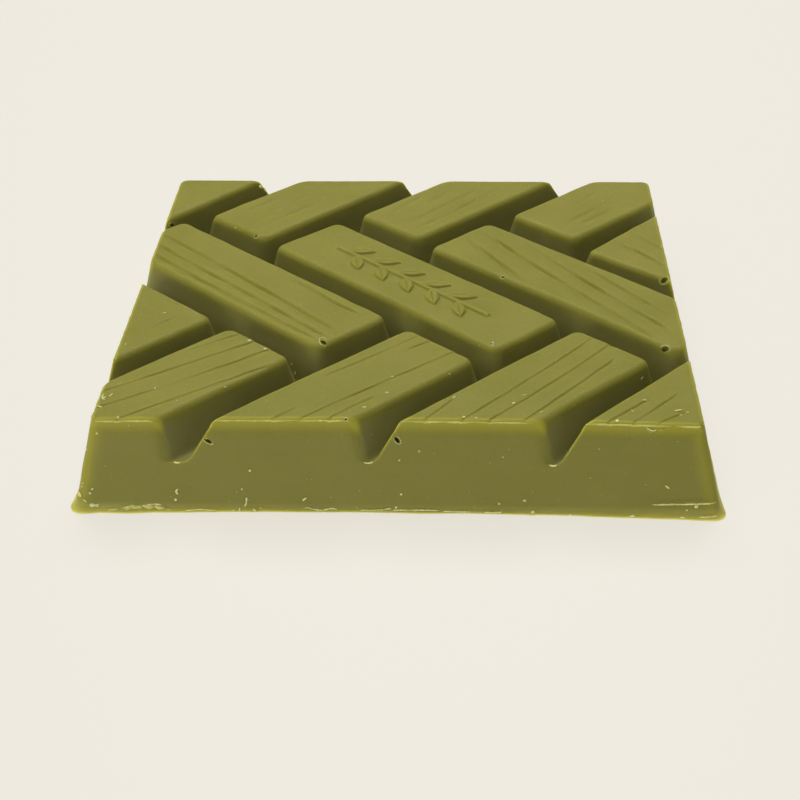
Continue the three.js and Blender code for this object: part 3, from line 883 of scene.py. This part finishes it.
crumb_heap = Heap()
bar_tree = tree_of(bar)
for point, long, wide, turn in LUMPS:
    spot, normal = seen(bar_tree, point)
    if spot:
        lump(crumb_heap, spot, normal, LUMP_SWELL * long, LUMP_SWELL * wide, turn)
for thickness, places in SHAVINGS:
    found = [seen(bar_tree, point) for point in smooth_path(np.array(places))]
    found = [hit for hit in found if hit[0]]
    if len(found) >= FEWEST_STEPS - 1:
        shaving(crumb_heap, *zip(*found), SHAVING_SWELL * thickness)
print(len(LUMPS), "lumps and", len(SHAVINGS), "shavings laid")

# %% [markdown]
# A torn edge of thin chocolate stands round each pinhole, where the bubble's skin broke. It is a
# broken ring: a shaving whose path is part of a circle round the pinhole.

# %% Ring the pinholes
RING_GAP = 1.35  # the ring's size, as a multiple of the pinhole's
RING_THICKNESS = 0.07
RING_ARC = (180, 300)
RING_STEP = 14
RING_SPREAD = 2.0  # a spot further off than this lies beyond an edge
PIXELS_PER_MM = 8.8

for point, long, wide, turn in PITS:
    first = chance.uniform(0, 360)
    angles = np.radians(np.arange(first, first + chance.uniform(*RING_ARC), RING_STEP))
    oval = long * np.cos(angles) + 1j * wide * np.sin(angles)
    ring_places = point + np.conj(oval * np.exp(1j * math.radians(turn))) * PIXELS_PER_MM * RING_GAP
    found = [seen(bar_tree, place) for place in ring_places]
    found = [hit for hit in found if hit[0] and (hit[0] - found[0][0]).length < RING_SPREAD * MM]
    if len(found) > FEWEST_STEPS:
        shaving(crumb_heap, *zip(*found), RING_THICKNESS)
print("the heap has", crumb_heap.total, "points")

# %% [markdown]
# Along the rim runs a fine pale thread. It is partly the last film of chocolate that the mould's
# edge sheared off, and partly a painted highlight along the rim's edge. The net knows the rim's
# points, so the thread follows them, dips where a grain line nicks the rim and stops at the mouths
# of the grooves. It is mostly sunk into the skin.
# A few pale scraps of the same film lie on the foot at the left; they are partly scraps and partly
# a painted glow on the lit foot.

# %% Fringe the rim
FRINGE_THICKNESS = 0.27
FRINGE_ROUGHNESS = 0.2
FRINGE_LIFT = -0.68
FRINGE_DROP = 0.05  # below the top
FRINGE_MARGIN = 8  # points of the net that are left out at a corner
FRINGE_CHANGE = 0.5
FRINGE_MOST = 1.3
FRONT_SHARE = 1.0  # of the thickness, along the front
OTHER_SHARE = 0.6  # and along the other three sides
BOARD_BELOW = 0.5  # a rim that lies lower than this below the top is a groove's mouth
SHORTEST_STRETCH = 6
SCRAP_SINK = 0.25
FOOT_FILM_AND_GLOW = [  # place in the picture, length and width in mm, turn
    (128 + 508.6j, 1.3, 0.5, 14), (137 + 507j, 1.4, 0.7, 4), (148 + 506.6j, 1.9, 0.75, -2),
    (160 + 507.4j, 1.5, 0.6, -8), (169 + 509.4j, 1.1, 0.35, -12), (113 + 509.6j, 1.6, 0.35, 2),
]
rim_row = int(np.argmax(row_wall <= HEIGHT - FRINGE_DROP))
low_end = count - 1 - rim_row
high_end = count - 1 + rim_row
span = np.arange(low_end + FRINGE_MARGIN, high_end - FRINGE_MARGIN + 1)
rim_sides = [(span, low_end, FRONT_SHARE), (span, high_end, OTHER_SHARE),
             (low_end, span, OTHER_SHARE), (high_end, span, OTHER_SHARE)]
film_and_highlight_heap = Heap()
stretches = 0
for x_index, y_index, share in rim_sides:
    rim = np.stack(np.broadcast_arrays(skin[x_index, y_index].real, skin[x_index, y_index].imag,
                                       height[x_index, y_index]), -1)
    facing = outwards[x_index, y_index]
    tilted = np.stack([facing.real, facing.imag, np.ones(len(span))], -1) / math.sqrt(2)
    swelling = share + FRINGE_CHANGE * uneven(net[x_index, y_index], 2.4, 71)
    thick = FRINGE_THICKNESS * np.clip(swelling, 0, FRINGE_MOST)
    whole = (surface[x_index, y_index] > HEIGHT - BOARD_BELOW) & (thick > FRINGE_THICKNESS / 3)
    edges = np.flatnonzero(np.diff(np.concatenate([[0], whole.astype(int), [0]])))
    for first, last in zip(edges[::2], edges[1::2]):
        if last - first > SHORTEST_STRETCH:
            path = rim[first:last] * MM
            aslant = tilted[first:last]
            shaving(film_and_highlight_heap, path, aslant, thick[first:last], FRINGE_ROUGHNESS, FRINGE_LIFT)
            stretches += 1
for point, long, wide, turn in FOOT_FILM_AND_GLOW:
    spot, normal = seen(bar_tree, point)
    if spot:
        lump(film_and_highlight_heap, spot - normal * wide * SCRAP_SINK * MM, normal, long, wide, turn)
# the film is partly real film, partly a painted highlight along the rim and a painted glow on the foot
film = film_and_highlight_heap.piece("matcha_film_and_highlight")
print(stretches, "stretches of film,", len(film.data.polygons), "faces")

# %% [markdown]
# Fine dust lies everywhere, most of it low on the walls. It is strewn by seeded chance on all four
# walls and on the top, so that the bar looks no cleaner from behind than from the front.

# %% Strew the dust
WALL_DUST = 60
TOP_DUST = 70
DUST_SIZES = (0.05, 0.13)
LARGER_SIZES = (0.2, 0.3)
LARGER_SHARE = 0.1
DUST_WIDTH = 0.9  # as a share of the length
LOWEST_DUST = 0.5
DUST_REACH = 9.5
DUST_SETTLING = 1.6  # above 1 more dust lies low
WALL_STREWN = 33
TOP_STREWN = 32
FRONT_QUARTER = 3

for quarter in range(4):
    facing = 1j ** quarter
    for _ in range(WALL_DUST):
        z = LOWEST_DUST + DUST_REACH * chance.random() ** DUST_SETTLING
        start = facing * complex(BASE, chance.uniform(-WALL_STREWN, WALL_STREWN))
        way = Vector((-facing.real, -facing.imag, 0))
        spot, normal, _, _ = bar_tree.ray_cast(Vector((start.real, start.imag, z)) * MM, way)
        size = chance.uniform(*DUST_SIZES)
        # the front wall has its larger crumbs already
        if quarter < FRONT_QUARTER and chance.random() < LARGER_SHARE:
            size = chance.uniform(*LARGER_SIZES)
        if spot:
            lump(crumb_heap, spot, normal, size, size * DUST_WIDTH, 0)
for _ in range(TOP_DUST):
    x, y = (chance.uniform(-TOP_STREWN, TOP_STREWN) for _ in range(2))
    spot, normal, _, _ = bar_tree.ray_cast(Vector((x, y, 2 * HEIGHT)) * MM, Vector((0, 0, -1)))
    size = chance.uniform(*DUST_SIZES)
    lump(crumb_heap, spot, normal, size, size * DUST_WIDTH, 0)
crumbs = crumb_heap.piece("matcha_crumbs")
print("all crumbs:", len(crumbs.data.polygons), "faces")

# %% [markdown]
# A finish is a net of nodes, and its sums are easier to read as sums. This small class wraps a
# socket, so that adding or multiplying two sockets puts the Math node in between. Every other node
# comes from one method, which takes its type, its settings, and what its sockets get.
# Numbers that stay the same all over are worked out in Python and set on the shader itself.

# %% Write shader sums as sums
class Wire:
    """A node's output that can be reckoned with."""

    def __init__(self, finish, socket):
        self.finish = finish
        self.socket = socket

    def math(self, operation, *values):
        return self.finish.node("ShaderNodeMath", {"operation": operation}, dict(enumerate(values)))

    def __add__(self, value):
        return self.math("ADD", self, value)

    def __sub__(self, value):
        return self.math("SUBTRACT", self, value)

    def __rsub__(self, value):
        return self.math("SUBTRACT", value, self)

    def __mul__(self, value):
        return self.math("MULTIPLY", self, value)

    __radd__ = __add__
    __rmul__ = __mul__

    def between(self, low, high):
        """0 below low, 1 above high, and a soft step in between."""
        inputs = {"Value": self, "From Min": low, "From Max": high}
        return self.finish.node("ShaderNodeMapRange", {"interpolation_type": "SMOOTHSTEP"}, inputs)


class Finish:
    """A material, its shader and the nodes that feed it."""

    def __init__(self, name):
        self.material = bpy.data.materials.new(name)
        self.material.use_nodes = True
        self.tree = self.material.node_tree
        self.shader = self.tree.nodes["Principled BSDF"]

    def node(self, kind, settings=None, inputs=None, output=0):
        node = self.tree.nodes.new(kind)
        for name, value in (settings or {}).items():
            setattr(node, name, value)
        for name, value in (inputs or {}).items():
            self.feed(node.inputs[name], value)
        return Wire(self, node.outputs[output])

    def feed(self, entry, value):
        if isinstance(value, Wire):
            self.tree.links.new(value.socket, entry)
        else:
            entry.default_value = value

    def mix(self, share, first, second):
        """A Mix node for colours, whose colour sockets are its seventh and eighth."""
        return self.node("ShaderNodeMix", {"data_type": "RGBA"}, {0: share, 6: first, 7: second}, 2)

    def noise(self, place, scale, detail, stretch=(1, 1, 1)):
        stretched = self.node("ShaderNodeVectorMath", {"operation": "MULTIPLY"}, {0: place, 1: stretch})
        inputs = {"Vector": stretched, "Scale": scale, "Detail": detail}
        return self.node("ShaderNodeTexNoise", {}, inputs)

    def place_in_mm(self):
        place = self.node("ShaderNodeTexCoord", output="Object")
        return self.node("ShaderNodeVectorMath", {"operation": "SCALE"}, {0: place, "Scale": 1 / MM})

    def set(self, values):
        for name, value in values.items():
            self.feed(self.shader.inputs[name], value)


def colour(red, green, blue):
    """A colour as a screen shows it, 0 to 255, turned into linear light."""
    parts = [value / 255 for value in (red, green, blue)]
    return tuple(v / 12.92 if v < 0.04045 else ((v + 0.055) / 1.055) ** 2.4 for v in parts) + (1,)


print("a middling olive is", [round(v, 3) for v in colour(134, 129, 40)])

# %% [markdown]
# Matcha chocolate is cocoa butter and milk powder, coloured by ground tea leaf. Light goes a
# millimetre or so into it, which keeps shadows soft, so the shader scatters under the skin, red and
# green further than blue. The colour drifts slowly where the tea was less well stirred, and carries
# fine dark specks of leaf and pale specks of milk. The set surface is satin, with a faint
# orange-peel bump.
# Some places differ from the rest, and each is one more tint laid over the body's colour. Thin
# edges let light through, and that glow is painted into the colour as a yellower tint. The grooves
# get a painted greyer shade. The outer walls are smoother than the top and mirror more of the pale
# room; that reflection is painted into them as a greyer tint. The rim, the upright corners and the
# foot get painted glow, as yellower bands. The mesh carries the first two along, but the
# others are painted by height and by distance from the sides: a flat wall keeps so few points when
# it is thinned that a value on them would spread over the whole wall.

# %% Mix the matcha chocolate
CLOUD_SCALE = 0.12  # hills per millimetre
GRIT_SCALE = 2.2
PEEL_SCALE = 1.4
LEAF_SCALE = 2.6
MILK_SCALE = 1.1
LEAF_SPECK = (0.06, 0.16)  # where a speck begins to fade, and where it ends
MILK_SPECK = (0.05, 0.14)
WALL_REFLECTION_BEYOND = (0.2, 0.6)  # distances beyond the rim
RIM_BEYOND = (-0.5, 0.0, 0.45)
RIM_HEIGHTS = (8.5, 9.9)
CORNER_BEYOND = (-0.3, 0.0)
CORNER_WIDTH = (0.3, 2.4)
FOOT_HEIGHTS = (-0.2, 1.5)

chocolate = Finish("matcha_chocolate")
place = chocolate.place_in_mm()
cloud = chocolate.noise(place, CLOUD_SCALE, 3.0)
grit = chocolate.noise(place, GRIT_SCALE, 4.0)
leaf_bits = chocolate.node("ShaderNodeTexVoronoi", {}, {"Vector": place, "Scale": LEAF_SCALE})
milk_bits = chocolate.node("ShaderNodeTexVoronoi", {}, {"Vector": place, "Scale": MILK_SCALE})
glow = chocolate.node("ShaderNodeAttribute", {"attribute_name": "glow"}, output="Fac")
painted_groove_shade = chocolate.node("ShaderNodeAttribute", {"attribute_name": "painted_groove_shade"}, output="Fac")

x, y, z = (chocolate.node("ShaderNodeSeparateXYZ", {}, {"Vector": place}, axis) for axis in range(3))
aside = x.math("ABSOLUTE", x)
away = y.math("ABSOLUTE", y)
beyond = x.math("MAXIMUM", aside, away) - TOP_HALF
from_corner = x.math("ABSOLUTE", aside - away)
# painted glow: yellower bands along the rim and down the upright corners
rim_start, rim_full, rim_end = RIM_BEYOND
painted_rim_glow = beyond.between(rim_start, rim_full) * (1 - beyond.between(rim_full, rim_end))
painted_rim_glow = painted_rim_glow * z.between(*RIM_HEIGHTS) * (1 - painted_groove_shade)
corner = beyond.between(*CORNER_BEYOND) * (1 - from_corner.between(*CORNER_WIDTH)) * 0.6

body = chocolate.mix(cloud.between(0.3, 0.7), colour(136, 133, 57), colour(142, 138, 63))
for share, tint in (
        (grit.between(0.35, 0.75) * 0.25, colour(124, 122, 48)),
        ((1 - leaf_bits.between(*LEAF_SPECK)) * 0.35, colour(94, 90, 32)),
        ((1 - milk_bits.between(*MILK_SPECK)) * 0.5, colour(172, 168, 100)),
        # painted glow where thin edges let light through
        (glow, colour(164, 159, 58)),
        # painted greyer shade in the grooves
        (painted_groove_shade * 0.8, colour(134, 131, 84)),
        # painted reflection of the pale room on the outer walls, greyer
        (beyond.between(*WALL_REFLECTION_BEYOND) * (1 - glow) * 0.6, colour(138, 135, 74)),
        # painted glow along the rim and the upright corners
        (x.math("MAXIMUM", painted_rim_glow, corner), colour(168, 163, 64)),
        # painted glow on the foot, yellower towards the floor
        (1 - z.between(*FOOT_HEIGHTS), colour(196, 191, 104))):
    body = chocolate.mix(share, body, tint)

gloss = 0.42 + (cloud + grit) * 0.05
peel = chocolate.noise(place, PEEL_SCALE, 3.0)
relief = {"Height": peel + grit * 0.3, "Strength": 0.1, "Distance": 0.05 * MM}
bump = chocolate.node("ShaderNodeBump", {}, relief)
chocolate.set({"Base Color": body, "Roughness": gloss, "Normal": bump})
chocolate.set({"IOR": 1.46, "Specular IOR Level": 0.1})
chocolate.set({"Subsurface Weight": 1.0, "Subsurface Scale": 0.8 * MM})
chocolate.set({"Subsurface Radius": (1.0, 1.0, 0.32)})
bar.data.materials.clear()
bar.data.materials.append(chocolate.material)
print("the chocolate's finish has", len(chocolate.tree.nodes), "nodes")

# %% [markdown]
# Broken chocolate is paler than moulded chocolate, because its rough faces scatter the light
# before it goes in. The film along the rim is smoother than a crumb and lets more light in, so it
# lies between the two in colour; its paleness is also the painted highlight along the rim and the
# painted glow on the foot. Both finishes are patchy in the same way and come from one helper.

# %% Mix the finishes of crumbs and of the film with its painted highlight
PATCH_SCALE = 0.9


def broken(name, darker, lighter, roughness, drift, weight):
    """The finish of broken chocolate; weight is the share of light that goes in."""
    finish = Finish(name)
    patch = finish.noise(finish.place_in_mm(), PATCH_SCALE, 2.0)
    finish.set({"Base Color": finish.mix(patch.between(0.35, 0.65), darker, lighter)})
    finish.set({"Roughness": roughness + patch * drift})
    finish.set({"Subsurface Weight": weight, "Subsurface Scale": 0.3 * MM})
    return finish


crumble = broken("matcha_crumb", colour(214, 208, 122), colour(238, 233, 176), 0.6, 0.2, 0.4)
film_and_highlight_finish = broken("matcha_film_and_highlight", colour(188, 184, 92), colour(208, 204, 122), 0.45, 0.1, 0.6)
crumbs.data.materials.append(crumble.material)
film.data.materials.append(film_and_highlight_finish.material)
print("each of the two finishes has", len(crumble.tree.nodes), "nodes")

# %% [markdown]
# The stage: a plain pale floor and plain soft light. A broad lamp hangs above and a little behind, a
# second one stands high at the left, and a long low one in front lights the near wall. The floor
# glows by itself, as a light table does. In the photo the bar casts hardly any shadow, and on a
# plain floor the lamp above would cast one.
# The picture is shown as the light falls, with no film look, so that its colours can be set
# against the photo's.

# %% Lay the floor and hang the lights
FLOOR_HALF = 1.6  # metres, as all sizes in this cell
FLOOR_GLOW = 0.72
LAMP_TINT = (1, 0.985, 0.93)
LAMPS = [  # name, place, width, depth, watts
    ("overhead", (0, 0.475, 0.823), 0.7, 0.7, 8.1),
    ("from the left", (-0.432, -0.432, 0.728), 0.7, 0.7, 2.5),
    ("low", (-0.38, -0.86, 0.132), 0.7, 0.2, 3.0),
]
ROOM_TINT = (1.0, 0.985, 0.95, 1)
ROOM_STRENGTH = 0.09

bpy.context.scene.view_settings.view_transform = "Standard"
floor_mesh = bpy.data.meshes.new("floor")
corners = [(x * FLOOR_HALF, y * FLOOR_HALF, 0) for x, y in ((-1, -1), (1, -1), (1, 1), (-1, 1))]
floor_mesh.from_pydata(corners, [], [(0, 1, 2, 3)])
floor = bpy.data.objects.new("floor", floor_mesh)
bpy.context.scene.collection.objects.link(floor)
pale = Finish("pale_floor")
pale.set({"Base Color": colour(80, 79, 76), "Roughness": 0.6})
pale.set({"Emission Color": (1.0, 0.96, 0.86, 1), "Emission Strength": FLOOR_GLOW})
floor.data.materials.append(pale.material)

for name, place, width, depth, watts in LAMPS:
    lamp = bpy.data.lights.new(name, "AREA")
    lamp.shape = "RECTANGLE"
    lamp.size = width
    lamp.size_y = depth
    lamp.energy = watts
    lamp.color = LAMP_TINT
    hung = bpy.data.objects.new(name, lamp)
    hung.location = place
    hung.rotation_euler = (-Vector(place)).to_track_quat("-Z", "Y").to_euler()
    hung.visible_camera = False
    bpy.context.scene.collection.objects.link(hung)
world = bpy.data.worlds.new("surroundings")
world.use_nodes = True
sky = world.node_tree.nodes["Background"]
sky.inputs["Color"].default_value = ROOM_TINT
sky.inputs["Strength"].default_value = ROOM_STRENGTH
bpy.context.scene.world = world
print("lights:", [light.name for light in bpy.data.lights])

# %% [markdown]
# Last, every piece is tied to the frame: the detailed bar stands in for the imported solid, and the
# crumbs and the film ride with it. The floor is only a stage.

# %% Tie the pieces to the frame
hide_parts("bar")
for piece in (bar, crumbs, film):
    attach(piece, "root")
